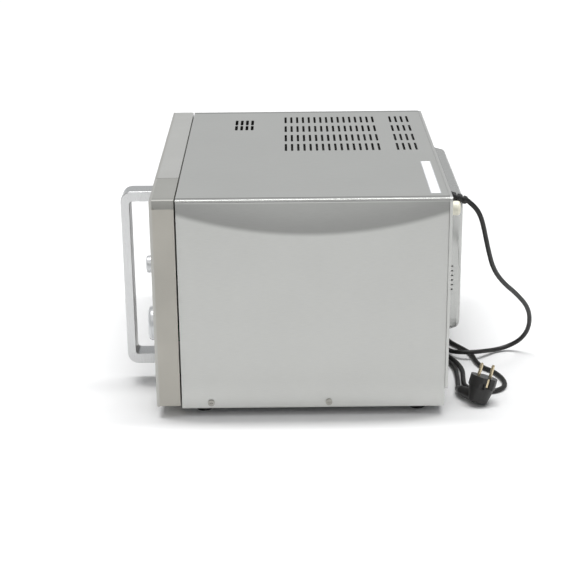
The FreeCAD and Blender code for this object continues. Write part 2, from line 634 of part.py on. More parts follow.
def door_skin():
    """The door's steel front layer, with the window's opening."""
    skin = box(DOOR_LEFT, DOOR_RIGHT, FASCIA_FRONT, FRAME_FRONT, FRAME_BOTTOM, BODY_TOP - 0.3)
    front = [e for e in skin.Edges if e.BoundBox.YMax < FASCIA_FRONT + 0.01]
    skin = skin.makeFillet(1.2, front)
    window = rounded_box(GLASS_LEFT, GLASS_RIGHT, FASCIA_FRONT - 1, FRAME_FRONT + 1, GLASS_BOTTOM, GLASS_TOP, 6.0,
                         Vector(0, 1, 0))
    skin = skin.cut(window)
    for x, z in handle_screw_places():
        skin = skin.cut(rod(2.6, (x, FASCIA_FRONT - 1, z), (x, FRAME_FRONT + 1, z)))
    return skin


def door_glass():
    """The dark outer glass, set into the door's front layer."""
    slack = 0.2
    return rounded_box(GLASS_LEFT + slack, GLASS_RIGHT - slack, FASCIA_FRONT + 0.4, FRAME_FRONT,
                       GLASS_BOTTOM + slack, GLASS_TOP - slack, 5.8, Vector(0, 1, 0))


def door_screen():
    """The steel inner door plate: a choke channel around a screened window."""
    rim_left = DOOR_LEFT + DOOR_RIM
    rim_right = DOOR_RIGHT - DOOR_RIM
    z0 = FRAME_BOTTOM + DOOR_RIM
    z1 = BODY_TOP - 0.3 - DOOR_RIM
    tray_y0 = FRAME_BACK - 14.0
    pan = box(rim_left, rim_right, tray_y0, FRAME_BACK, z0, z1)
    hollow = box(rim_left + 1, rim_right - 1, tray_y0 + 1, FRAME_BACK + 1, z0 + 1, z1 - 1)
    plate = pan.cut(hollow)
    lip = box(rim_left + 15, rim_right - 15, tray_y0, FRAME_BACK, z0 + 15, z1 - 15)
    lip = lip.cut(box(rim_left + 16, rim_right - 16, tray_y0 - 1, FRAME_BACK + 1, z0 + 16, z1 - 16))
    return plate.fuse(lip)


def door_inner_glass():
    """The heat-resistant pane over the screened window, on the door's cavity side."""
    inset = DOOR_RIM + 16.3
    return box(DOOR_LEFT + inset, DOOR_RIGHT - inset, FRAME_BACK - 4.0, FRAME_BACK - 0.5,
               FRAME_BOTTOM + inset, BODY_TOP - 0.3 - inset)


def handle_screw_places():
    """Handle screws, given as X and Z."""
    x = (HANDLE_LEFT + HANDLE_RIGHT) / 2
    half_leg = HANDLE_LEG / 2
    return [(x, HANDLE_BOTTOM + half_leg), (x, HANDLE_TOP - half_leg)]


def handle():
    """The flat-bar handle: a tall bow with rounded corners."""
    bow = box(HANDLE_LEFT, HANDLE_RIGHT, HANDLE_FRONT, FASCIA_FRONT, HANDLE_BOTTOM, HANDLE_TOP)
    outer = [e for e in bow.Edges
             if abs(e.tangentAt(e.FirstParameter).x) > 0.99 and abs(e.CenterOfMass.y - HANDLE_FRONT) < 0.01]
    bow = bow.makeFillet(16.0, outer)
    grip = box(HANDLE_LEFT - 1, HANDLE_RIGHT + 1, HANDLE_BACK, FASCIA_FRONT + 1,
               HANDLE_BOTTOM + HANDLE_LEG, HANDLE_TOP - HANDLE_LEG)
    inner = [e for e in grip.Edges
             if abs(e.tangentAt(e.FirstParameter).x) > 0.99 and abs(e.CenterOfMass.y - HANDLE_BACK) < 0.01]
    bow = bow.cut(grip.makeFillet(5.0, inner))
    rims = [e for e in bow.Edges
            if abs(abs(e.CenterOfMass.x - (HANDLE_LEFT + HANDLE_RIGHT) / 2) - (HANDLE_RIGHT - HANDLE_LEFT) / 2) < 0.01
            and e.BoundBox.YMin < FASCIA_FRONT - 1.0]
    bow = bow.makeFillet(1.2, rims)
    for x, z in handle_screw_places():
        bow = bow.cut(rod(2.05, (x, FASCIA_FRONT + 1, z), (x, FASCIA_FRONT - 14, z)))
    return bow


def handle_screws():
    """Screws that hold the handle from inside the door."""
    pieces = []
    for x, z in handle_screw_places():
        head = rod(4.0, (x, FRAME_FRONT + 3.0, z), (x, FRAME_FRONT + 5.5, z))
        shank = rod(2.0, (x, FRAME_FRONT + 3.0, z), (x, FASCIA_FRONT - 12, z))
        pieces.append(head.fuse(shank))
    return Part.makeCompound(pieces)


def hinge(z):
    """A hinge ear with its pin, fixed to the chassis front plate."""
    ear = box(HINGE_X - 6, HINGE_X + 6, HINGE_Y - 6, SHELL_FRONT, z - 1.0, z + 1.0)
    foot = box(HINGE_X - 3, HINGE_X + 6, SHELL_FRONT - 1.0, SHELL_FRONT, z - 9.0, z + 9.0)
    pin = rod(PIN_RADIUS, (HINGE_X, HINGE_Y, z - 6), (HINGE_X, HINGE_Y, z + 6))
    return join([ear, foot, pin])


def latch_hooks():
    """The sprung latch lever with its two hooks, which slides up and down in the door."""
    y0 = FRAME_BACK - 20.0
    bar = box(114.0, 120.0, y0, y0 + 3.0, LATCH_HEIGHTS[0] - 8, LATCH_HEIGHTS[1] + 8)
    hooks = []
    for z in LATCH_HEIGHTS:
        arm = box(114.0, 120.0, y0, SHELL_FRONT + 16.0, z - 4, z + 4)
        nose = box(114.0, 120.0, SHELL_FRONT + 9.0, SHELL_FRONT + 16.0, z - 7.5, z + 4)
        hooks += [arm, nose]
    return join([bar] + hooks)


def latch_bracket():
    """The moulded bracket behind the front plate that the hooks enter."""
    y0 = SHELL_FRONT + PLATE
    back = box(94.0, 98.0, y0, y0 + 40.0, 70.0, 270.0)
    foot = box(94.0, 140.0, y0, y0 + 2.5, 66.0, 274.0)
    for z in LATCH_HEIGHTS:
        foot = foot.cut(box(107.0, 127.0, y0 - 1, y0 + 4, z - 14, z + 14))
    shelves = []
    for z in LATCH_HEIGHTS:
        shelves.append(box(98.0, 128.0, y0, y0 + 30.0, z - 18.0, z - 15.0))
    return join([back, foot] + shelves)


def latch_switches():
    """The three interlock switches on the latch bracket."""
    pieces = []
    for z in (87.0, 150.0, 237.0):
        body = box(98.0, 108.0, -135.0, -117.0, z, z + 28.0)
        tabs = box(101.0, 105.0, -117.0, -110.0, z + 5, z + 6)
        tabs = tabs.fuse(box(101.0, 105.0, -117.0, -110.0, z + 14, z + 15))
        tabs = tabs.fuse(box(101.0, 105.0, -117.0, -110.0, z + 23, z + 24))
        pieces.append(body.fuse(tabs))
    return Part.makeCompound(pieces)


# ---- control panel ----

def panel_housing():
    """The control panel's moulded housing, open at the back."""
    x0 = PANEL_LEFT + GAP
    x1 = WIDTH / 2
    z1 = BODY_TOP - 1.5
    body = box(x0, x1, FRAME_FRONT, FRAME_BACK, FRAME_BOTTOM, z1)
    lower = [e for e in body.Edges if abs(e.tangentAt(e.FirstParameter).y) > 0.99 and e.CenterOfMass.z < 50.0]
    body = body.makeFillet(2.0, lower)
    body = body.cut(box(x1 - 1.3, x1 + 1, FRAME_FRONT - 1, FRAME_BACK + 1, BODY_TOP - 12.6, BODY_TOP))
    hollow = box(x0 + 2.5, x1 - 3.8, FRAME_FRONT + 2.5, FRAME_BACK + 1, FRAME_BOTTOM + 2.5, z1 - 2.5)
    body = body.cut(hollow)
    for z in (UPPER_KNOB_Z, LOWER_KNOB_Z):
        body = body.cut(rod(5.0, (KNOB_X, FRAME_FRONT - 1, z), (KNOB_X, FRAME_FRONT + 4, z)))
    body = body.cut(box(KNOB_X - 33, KNOB_X + 33, FRAME_FRONT - 1, FRAME_FRONT + 4, 268.0, 292.0))
    for x, z in BUTTON_PLACES:
        body = body.cut(box(x - 9.6, x + 9.6, FRAME_FRONT - 1, FRAME_FRONT + 4, z - 4.6, z + 4.6))
    return body


def panel_cap():
    """The cap band that wraps the control panel's top and folds down its side."""
    x0 = PANEL_LEFT + GAP
    x1 = WIDTH / 2
    z1 = BODY_TOP - 0.3
    top = box(x0, x1, FRAME_FRONT, FRAME_BACK, z1 - 1.2, z1)
    side = box(x1 - 1.2, x1, FRAME_FRONT, FRAME_BACK, BODY_TOP - 12.5, z1)
    rounded = [e for e in side.Edges
               if abs(e.tangentAt(e.FirstParameter).x) > 0.99 and e.CenterOfMass.z < z1 - 8
               and e.CenterOfMass.y < FRAME_FRONT + 1]
    side = side.makeFillet(5.0, rounded)
    return join([top, side])


def panel_fascia():
    """The steel fascia over the control panel, with openings for the display, knobs and buttons."""
    x0 = PANEL_LEFT + GAP
    x1 = WIDTH / 2
    sheet = box(x0, x1, FASCIA_FRONT, FRAME_FRONT, FRAME_BOTTOM, BODY_TOP - 0.3)
    front = [e for e in sheet.Edges if e.BoundBox.YMax < FASCIA_FRONT + 0.01]
    sheet = sheet.makeFillet(1.2, front)
    sheet = sheet.cut(box(KNOB_X - 38, KNOB_X + 38, FASCIA_FRONT - 1, FRAME_FRONT + 1, 262.0, 298.0))
    for z in (UPPER_KNOB_Z, LOWER_KNOB_Z):
        sheet = sheet.cut(rod(5.0, (KNOB_X, FASCIA_FRONT - 1, z), (KNOB_X, FRAME_FRONT + 1, z)))
    for x, z in BUTTON_PLACES:
        sheet = sheet.cut(box(x - 15.4, x + 15.4, FASCIA_FRONT - 1, FRAME_FRONT + 1, z - 7.4, z + 7.4))
    return sheet


def display_window():
    """The display's dark window, set flush in the fascia."""
    return box(KNOB_X - 37.8, KNOB_X + 37.8, FASCIA_FRONT + 0.2, FRAME_FRONT, 262.2, 297.8)


def control_board():
    """The control board with its display module, relays and buttons' contacts."""
    y = -186.0
    board = box(PANEL_LEFT + 6, WIDTH / 2 - 6, y, y + 1.6, 40.0, 312.0)
    module = box(KNOB_X - 31, KNOB_X + 31, FRAME_FRONT + 1.0, y, 270.0, 290.0)
    relays = [box(165.0 + 26.0 * i, 183.0 + 26.0 * i, y + 1.6, y + 15.0, 168.0, 190.0) for i in range(3)]
    supply = box(160.0, 190.0, y + 1.6, y + 16.0, 90.0, 116.0)
    posts = [rod(3.0, (x, FRAME_FRONT + 2.5, z), (x, y, z))
             for x in (PANEL_LEFT + 10, WIDTH / 2 - 10) for z in (50.0, 302.0)]
    return join([board, module, supply] + relays + posts)


def encoders():
    """The two rotary encoders on the control board."""
    pieces = []
    for z in (UPPER_KNOB_Z, LOWER_KNOB_Z):
        body = box(KNOB_X - 6.5, KNOB_X + 6.5, -192.5, -186.0, z - 6.5, z + 6.5)
        pieces.append(body.cut(rod(3.05, (KNOB_X, -194, z), (KNOB_X, -187.5, z))))
    return Part.makeCompound(pieces)


def knob(z, radius, rounding, grooves):
    """A turned knob with a rounded front, grooves around its side and a shaft."""
    y0 = FASCIA_FRONT - 0.6
    y1 = y0 - KNOB_LENGTH * 0.2
    y2 = y0 - KNOB_LENGTH
    skirt = rod(radius, (KNOB_X, y0, z), (KNOB_X, y1, z))
    grip = taper(radius * 0.97, radius * 0.93, (KNOB_X, y1, z), (KNOB_X, y2, z))
    front = [e for e in grip.Edges if e.BoundBox.YMax < y2 + 0.01]
    grip = grip.makeFillet(rounding, front)
    shaft = rod(3.0, (KNOB_X, y0 - 2, z), (KNOB_X, -188.0, z))
    body = skirt.fuse(grip)
    cuts = []
    for i in range(grooves):
        angle = 2 * math.pi * i / grooves
        out = radius + 0.7
        place = Vector(KNOB_X + out * math.cos(angle), y1 - 0.6, z + out * math.sin(angle))
        cuts.append(Part.makeCylinder(1.2, KNOB_LENGTH * 0.5, place, Vector(0, -1, 0)))
    body = body.cut(Part.makeCompound(cuts))
    mark = box(KNOB_X - 0.8, KNOB_X + 0.8, y2 - 0.01, y2 + 0.6, z + radius * 0.3, z + radius * 0.75)
    return body.cut(mark).fuse(shaft)


def button(x, z):
    """A push button with a flat cap in the fascia and a narrower stem through the housing."""
    cap = rounded_box(x - 15.0, x + 15.0, FASCIA_FRONT - 0.6, FASCIA_FRONT + 2.0, z - 7.0, z + 7.0, 2.0,
                      Vector(0, 1, 0))
    stem = box(x - 9.2, x + 9.2, FASCIA_FRONT + 1.5, -189.0, z - 4.2, z + 4.2)
    return cap.fuse(stem)


# ---- component bay ----

def wave_guide():
    """The wave guide between the magnetron and the cavity wall."""
    x0 = CAVITY_RIGHT + 1.0
    outer = box(x0, x0 + 38, -28.0, 58.0, 102.0, 262.0)
    hollow = box(x0 - 1, x0 + 37, -27.0, 57.0, 103.0, 202.0)
    guide = outer.cut(hollow).cut(box(x0 + 1, x0 + 37, -27.0, 57.0, 196.0, 261.0))
    return guide.cut(rod(10.0, (x0 + 30, 15.0, 230.0), (x0 + 42, 15.0, 230.0)))


def magnetron():
    """The magnetron with its cooling fins, end plates and antenna."""
    x0 = CAVITY_RIGHT + 39.0
    plates = [box(x0, x0 + 3, -28.0, 58.0, 196.0, 264.0), box(x0 + 62, x0 + 65, -28.0, 58.0, 196.0, 264.0)]
    core = rod(19.0, (x0 + 1, 15.0, 230.0), (x0 + 64, 15.0, 230.0))
    fins = [box(x0 + 10 + 8 * i, x0 + 10.8 + 8 * i, -26.0, 56.0, 198.0, 262.0) for i in range(6)]
    antenna = rod(8.0, (x0 - 26, 15.0, 230.0), (x0 + 2, 15.0, 230.0))
    filter_box = box(x0 + 65, x0 + 92, -10.0, 40.0, 206.0, 254.0)
    yoke = [box(x0, x0 + 65, y, y + 2, 196.0, 264.0) for y in (-30.0, 58.0)]
    return join(plates + [core, antenna, filter_box] + fins + yoke)


def transformer():
    """The high-voltage transformer on the base plate."""
    z0 = FOOT_HEIGHT + PLATE
    core = box(130.0, 232.0, -42.0, 24.0, z0 + 2, z0 + 84).cut(box(148.0, 214.0, -43.0, 25.0, z0 + 20, z0 + 66))
    feet_plate = box(124.0, 238.0, -46.0, 28.0, z0, z0 + 2.5)
    windings = rounded_box(150.0, 212.0, -58.0, 40.0, z0 + 22, z0 + 64, 8.0, Vector(1, 0, 0))
    web = box(147.0, 215.0, -42.0, 24.0, z0 + 38, z0 + 48)
    return join([core, feet_plate, windings, web])


def capacitor():
    """The oval high-voltage capacitor, strapped to the base plate."""
    z0 = FOOT_HEIGHT + PLATE
    can = rounded_box(100.0, 134.0, 80.0, 132.0, z0, z0 + 92.0, 15.0, Vector(0, 0, 1))
    terminals = [rod(2.5, (117.0, y, z0 + 91), (117.0, y, z0 + 101)) for y in (94.0, 118.0)]
    return join([can] + terminals)


def fan_shroud():
    """The cooling fan's shroud and motor mount, fixed to the rear panel."""
    y0 = 178.0
    y1 = REAR_FACE - PLATE
    frame = box(114.0, 236.0, y0, y1, 124.0, 246.0).cut(box(116.0, 234.0, y0 - 1, y1 - 2.0, 126.0, 244.0))
    frame = frame.cut(rod(52.0, (175.0, y0 - 1, 185.0), (175.0, y1 + 2, 185.0)))
    spider = box(116.0, 234.0, y1 - 8.0, y1 - 4.0, 180.0, 190.0)
    spider = spider.fuse(box(170.0, 180.0, y1 - 8.0, y1 - 4.0, 126.0, 244.0))
    motor = rod(20.0, (175.0, y1 - 16.0, 185.0), (175.0, y1 - 4.0, 185.0))
    bore = rod(2.05, (175.0, y0, 185.0), (175.0, y1 - 6.0, 185.0))
    return join([frame, spider, motor]).cut(bore)


def cooling_fan():
    """The magnetron cooling fan, five blades on a hub and a thin shaft."""
    hub = rod(13.0, (175.0, 180.0, 185.0), (175.0, 193.0, 185.0))
    shaft = rod(2.0, (175.0, 186.0, 185.0), (175.0, 204.0, 185.0))
    parts = [hub, shaft]
    for i in range(5):
        blade = box(185.0, 222.0, 180.5, 182.0, 172.0, 198.0)
        blade.rotate(Vector(185.0, 186.5, 185.0), Vector(1, 0, 0), 24)
        blade.translate(Vector(0, 2.0, 0))
        blade.rotate(Vector(175.0, 186.5, 185.0), Vector(0, 1, 0), 72 * i)
        parts.append(blade)
    return join(parts)


def noise_filter():
    """The mains noise filter board on the rear panel's inside."""
    board = box(96.0, 160.0, 203.0, 204.6, 262.0, 316.0)
    choke = rod(12.0, (128.0, 186.0, 290.0), (128.0, 203.0, 290.0)).cut(
        rod(5.0, (128.0, 185.0, 290.0), (128.0, 203.0, 290.0)))
    capacitor_block = box(100.0, 112.0, 190.0, 203.0, 270.0, 296.0)
    fuse = rod(3.0, (144.0, 198.0, 268.0), (144.0, 198.0, 298.0))
    clips = [box(141.0, 147.0, 197.0, 203.0, z, z + 4) for z in (268.0, 294.0)]
    posts = [rod(3.0, (x, 204.6, z), (x, REAR_FACE - PLATE, z)) for x in (101.0, 155.0) for z in (267.0, 311.0)]
    return join([board, choke, capacitor_block, fuse] + clips + posts)


def thermostat():
    """The round cut-out thermostat on the cavity's top."""
    z0 = CAVITY_CEILING + 1.0
    plate = box(-32.0, -8.0, 56.0, 68.0, z0, z0 + 1.0)
    can = rod(8.0, (-20.0, 62.0, z0), (-20.0, 62.0, z0 + 9.0))
    tabs = [box(-24.0 + 6 * i, -22.0 + 6 * i, 59.0, 65.0, z0 + 8, z0 + 17.0) for i in range(2)]
    return join([plate, can] + tabs)


# ---- mains lead ----

def strain_relief():
    """The ribbed relief that the lead leaves the rear panel through."""
    start = Vector(RELIEF_X, REAR_FACE, RELIEF_Z)
    along = Vector(*CORD_ROUTE[0]) - start
    core = Part.makeCone(4.6, 4.2, along.Length, start, along)
    collar = Part.makeCylinder(7.2, 5.5, start - Vector(0, 5.0, 0), Vector(0, 1, 0))
    flange = Part.makeCylinder(9.0, 2.0, start, Vector(0, 1, 0))
    along.normalize()
    parts = [core, collar, flange]
    for distance, length, radius in RELIEF_RIBS:
        parts.append(Part.makeCone(radius, radius - 0.4, length, start + along * distance, along))
    return join(parts)


def cord_tube():
    """The lead from the strain relief to the plug's sleeve."""
    body, path, radii = tube(CORD_ROUTE, CORD_DIAMETER / 2)
    section = math.pi * (CORD_DIAMETER / 2) ** 2
    print("lead length %.1f mm, volume over section times length %.4f" % (path.Length,
          body.Volume / (section * path.Length)))
    print("lead bend radii", " ".join("%.0f" % r for r in radii))
    runs = [(Vector(*b) - Vector(*a)).Length for a, b in zip(CORD_ROUTE[:-1], CORD_ROUTE[1:])]
    print("lead runs", " ".join("%.0f" % r for r in runs))
    return body


def place_plug(shape):
    """Move a shape from the plug's own axes, face at the origin and pins upward, to where the plug lies."""
    turn = FreeCAD.Rotation(Vector(0, 0, 1), PLUG_DIRECTION)
    twist = FreeCAD.Rotation(Vector(0, 0, 1), PLUG_TWIST)
    placed = shape.copy()
    placed.Placement = FreeCAD.Placement(PLUG_FACE, turn.multiply(twist))
    return placed


def plug_body():
    """The angled plug body with earth grooves, grip pockets and its bent side sleeve."""
    face_part = rod(PLUG_RADIUS, (0, 0, -16.0), (0, 0, 0))
    for sign in (-1, 1):
        outer = PLUG_FLAT + 10.0
        face_part = face_part.cut(box(min(sign * PLUG_FLAT, sign * outer), max(sign * PLUG_FLAT, sign * outer),
                                      -30, 30, -20, 2))
    body = face_part.fuse(taper(14.0, PLUG_RADIUS - 1.0, (0, 0, -PLUG_LENGTH), (0, 0, -15.5)))
    for sign in (-1, 1):
        middle = sign * PLUG_FLAT
        body = body.cut(box(middle - 3.0, middle + 3.0, -2.5, 2.5, -14.0, 1))
        body = body.cut(box(middle - 2.0, middle + 6.0, -12.5, -5.0, -17.0, -8.0))
        y = sign * PIN_SPACING / 2
        body = body.cut(rod(PLUG_PIN_RADIUS, (0, y, -8.0), (0, y, 1)))
    sleeve = [taper(9.5, 7.5, SLEEVE_ROOT, SLEEVE_ELBOW), Part.makeSphere(7.5, Vector(*SLEEVE_ELBOW)),
              taper(7.4, 5.0, SLEEVE_ELBOW, CORD_ROUTE[-1])]
    return join([place_plug(body)] + sleeve)


def plug_pins():
    """The two round plug pins and the earth strips in the grooves."""
    pieces = []
    for sign in (-1, 1):
        y = sign * PIN_SPACING / 2
        pin = rod(PLUG_PIN_RADIUS, (0, y, -8.0), (0, y, 17.0))
        tip = taper(PLUG_PIN_RADIUS, 1.4, (0, y, 17.0), (0, y, 19.0))
        pieces.append(place_plug(pin.fuse(tip)))
        root = sign * (PLUG_FLAT - 3.0)
        pieces.append(place_plug(box(min(root, root + sign), max(root, root + sign), -1.6, 1.6, -13.0, -0.5)))
    return Part.makeCompound(pieces)


NODES = {
    "shell": shell, "side_screws": side_screws, "base_plate": base_plate, "feet": feet,
    "rear_panel": rear_panel, "rear_screws": rear_screws,
    "rear_spacer": rear_spacer, "duct_cover": duct_cover, "top_label": top_label,
    "front_plate": front_plate, "cavity": cavity, "fan_housing": fan_housing,
    "convection_fan": convection_fan, "convection_motor": convection_motor, "ring_heater": ring_heater,
    "grill_heater": grill_heater, "wave_cover": wave_cover, "cavity_lamp": lamp,
    "turntable_motor": turntable_motor, "turntable_coupler": turntable_coupler,
    "roller_ring": roller_ring, "glass_tray": glass_tray,
    "door_frame": door_frame, "door_skin": door_skin, "door_glass": door_glass, "door_screen": door_screen,
    "door_inner_glass": door_inner_glass, "handle": handle, "handle_screws": handle_screws,
    "hinge_lower": lambda: hinge(HINGE_HEIGHTS[0]), "hinge_upper": lambda: hinge(HINGE_HEIGHTS[1]),
    "latch_hooks": latch_hooks, "latch_bracket": latch_bracket, "latch_switches": latch_switches,
    "panel_housing": panel_housing, "panel_cap": panel_cap, "panel_fascia": panel_fascia,
    "display_window": display_window, "control_board": control_board, "encoders": encoders,
    "knob_upper": lambda: knob(UPPER_KNOB_Z, 13.0, 2.0, 20),
    "knob_lower": lambda: knob(LOWER_KNOB_Z, 26.0, 5.0, 40),
    "start_button": lambda: button(*BUTTON_PLACES[1]), "stop_button": lambda: button(*BUTTON_PLACES[0]),
    "wave_guide": wave_guide, "magnetron": magnetron, "transformer": transformer,
    "capacitor": capacitor, "fan_shroud": fan_shroud, "cooling_fan": cooling_fan,
    "noise_filter": noise_filter, "thermostat": thermostat,
    "strain_relief": strain_relief, "cord_tube": cord_tube, "plug_body": plug_body, "plug_pins": plug_pins,
}


def main():
    """Write each node's solid to its own file."""
    os.makedirs("parts", exist_ok=True)
    for name, make in NODES.items():
        shape = make()
        bounds = shape.optimalBoundingBox(False)
        print("%-18s solids %d valid %s  X %.1f %.1f  Y %.1f %.1f  Z %.1f %.1f" % (
            name, len(shape.Solids), shape.isValid(), bounds.XMin, bounds.XMax, bounds.YMin, bounds.YMax,
            bounds.ZMin, bounds.ZMax))
        shape.exportStep("parts/%s.step" % name)


main()
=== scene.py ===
import math
import bpy
from mathutils import Matrix, Vector


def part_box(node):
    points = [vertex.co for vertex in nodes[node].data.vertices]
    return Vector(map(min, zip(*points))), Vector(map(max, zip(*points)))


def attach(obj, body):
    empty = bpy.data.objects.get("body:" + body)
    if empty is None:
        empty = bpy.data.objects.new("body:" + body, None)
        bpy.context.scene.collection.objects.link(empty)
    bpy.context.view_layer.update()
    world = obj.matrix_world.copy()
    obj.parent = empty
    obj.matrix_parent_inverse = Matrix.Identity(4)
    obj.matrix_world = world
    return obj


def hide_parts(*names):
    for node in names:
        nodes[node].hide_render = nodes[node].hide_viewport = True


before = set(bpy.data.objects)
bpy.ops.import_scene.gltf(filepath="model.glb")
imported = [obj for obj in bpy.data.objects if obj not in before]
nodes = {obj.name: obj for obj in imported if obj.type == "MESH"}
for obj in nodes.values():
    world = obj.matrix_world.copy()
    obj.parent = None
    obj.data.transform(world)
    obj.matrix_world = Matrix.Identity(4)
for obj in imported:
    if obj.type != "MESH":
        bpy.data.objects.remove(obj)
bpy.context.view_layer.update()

scene = bpy.context.scene

# Camera: beside the oven's right side and above it, looking along -X and down on the top
CAMERA_PLACE = Vector((2.23305, -0.01355, 0.91464))
CAMERA_YAW = math.radians(0.133)
CAMERA_PITCH = math.radians(20.068)
CAMERA_ROLL = math.radians(-0.55)
CAMERA_LENS = 93.39

# Pressed arc on the shell's sides, in metres, and the strengths of the shade painted on the crescent
# inside it
ARC_CENTRE = (0.022, 0.875)
ARC_RADIUS = 0.600
ARC_BLUR_OUT = 0.006
ARC_BLUR_IN = 0.003
ARC_DEPTH = 0.046
ARC_PAINTED_SHADE = (0.30, 0.42)
STRIP_BOTTOM = 0.3215

# Painted shade and highlight lines of the shell and of the cap band, in metres: the painted side shade
# that fades out towards the floor, the painted glint under the top strip, the painted dark line along the
# side fold, the painted shade on the cap's side, the painted dark reflection line on the shell's top, the
# painted highlight on the cap's folded edge and the painted dark line beside it. The first four are
# heights above the floor, the others are distances from the middle plane.
SIDE_SHADE_PAINTED_FADE = (0.012, 0.060)
PAINTED_GLINT_HEIGHTS = (0.3192, 0.3208)
SIDE_FOLD = (0.3214, 0.3226)
CAP_PAINTED_SIDE_SHADE = (0.3135, 0.3250)
TOP_PAINTED_LINE = (0.2490, 0.2535)
CAP_PAINTED_HIGHLIGHT = (0.2546, 0.2610)
CAP_PAINTED_DARK_LINE = (0.2475, 0.2520)
# Strength of the painted dark lines along the side fold and on the top
PAINTED_LINE_STRENGTH = 0.42

# Colours
SHELL = (0.61, 0.615, 0.595)
ZINC = (0.50, 0.51, 0.51)
BORDER_GREY = (0.55, 0.56, 0.58)

# Mains lead, in metres. Its points are the CAD route's, eased numerically by up to 5 mm for wider bends.
CORD_DIAMETER = 0.007
CORD_ROUTE = [
    (0.1850, 0.2445, 0.2988), (0.1848, 0.2555, 0.2895), (0.1830, 0.2645, 0.2750),
    (0.1760, 0.2715, 0.2500), (0.1620, 0.2795, 0.2180), (0.1440, 0.2905, 0.1815),
    (0.1220, 0.3095, 0.1515), (0.0940, 0.3365, 0.1220), (0.0660, 0.3600, 0.0880),
    (0.0421, 0.3661, 0.0490), (0.0250, 0.3567, 0.0210), (0.0199, 0.3359, 0.0066),
    (0.0281, 0.3139, 0.0046), (0.0423, 0.2986, 0.0090), (0.0538, 0.2840, 0.0122),
    (0.0552, 0.2646, 0.0120), (0.0450, 0.2478, 0.0090), (0.0242, 0.2395, 0.0046),
    (-0.0080, 0.2350, 0.0038), (-0.0460, 0.2274, 0.0038), (-0.0880, 0.2160, 0.0038),
    (-0.1220, 0.2051, 0.0038), (-0.1520, 0.1994, 0.0038), (-0.1777, 0.2055, 0.0038),
    (-0.1954, 0.2271, 0.0038), (-0.1922, 0.2535, 0.0038), (-0.1708, 0.2696, 0.0038),
    (-0.1430, 0.2667, 0.0038), (-0.1120, 0.2560, 0.0038), (-0.0800, 0.2461, 0.0038),
    (-0.0460, 0.2408, 0.0038), (-0.0121, 0.2458, 0.0038), (0.0160, 0.2630, 0.0038),
    (0.0412, 0.2768, 0.0038), (0.0707, 0.2791, 0.0038), (0.0949, 0.2862, 0.0038),
    (0.1121, 0.3018, 0.0038), (0.1404, 0.3129, 0.0038), (0.1701, 0.3127, 0.0038),
    (0.1879, 0.2941, 0.0038), (0.1876, 0.2693, 0.0038), (0.1692, 0.2512, 0.0038),
    (0.1402, 0.2521, 0.0038), (0.1060, 0.2558, 0.0038), (0.0741, 0.2493, 0.0038),
    (0.0461, 0.2368, 0.0038), (0.0170, 0.2187, 0.0038), (-0.0035, 0.1934, 0.0038),
    (-0.0021, 0.1684, 0.0038), (0.0155, 0.1519, 0.0038), (0.0389, 0.1515, 0.0038),
    (0.0570, 0.1676, 0.0038), (0.0591, 0.1931, 0.0038), (0.0565, 0.2178, 0.0038),
    (0.0714, 0.2385, 0.0038), (0.0981, 0.2447, 0.0038), (0.1260, 0.2448, 0.0040),
    (0.1520, 0.2429, 0.0048), (0.1680, 0.2414, 0.0056), (0.1810, 0.2400, 0.0064),
]


# ---- camera ----

def make_camera():
    """The camera at the photograph's viewing angle."""
    forward = Vector((-math.cos(CAMERA_YAW) * math.cos(CAMERA_PITCH),
                      math.sin(CAMERA_YAW) * math.cos(CAMERA_PITCH),
                      -math.sin(CAMERA_PITCH)))
    right = forward.cross(Vector((0, 0, 1))).normalized()
    up = right.cross(forward)
    side = right * math.cos(CAMERA_ROLL) + up * math.sin(CAMERA_ROLL)
    top = up * math.cos(CAMERA_ROLL) - right * math.sin(CAMERA_ROLL)
    turn = Matrix((side, top, -forward)).transposed().to_4x4()
    data = bpy.data.cameras.new("camera")
    data.lens = CAMERA_LENS
    data.sensor_width = 36.0
    data.clip_end = 50.0
    camera = bpy.data.objects.new("camera", data)
    camera.matrix_world = Matrix.Translation(CAMERA_PLACE) @ turn
    scene.collection.objects.link(camera)
    scene.camera = camera


# ---- materials ----

RAMP_SOCKETS = ("From Min", "From Max", "To Min", "To Max")


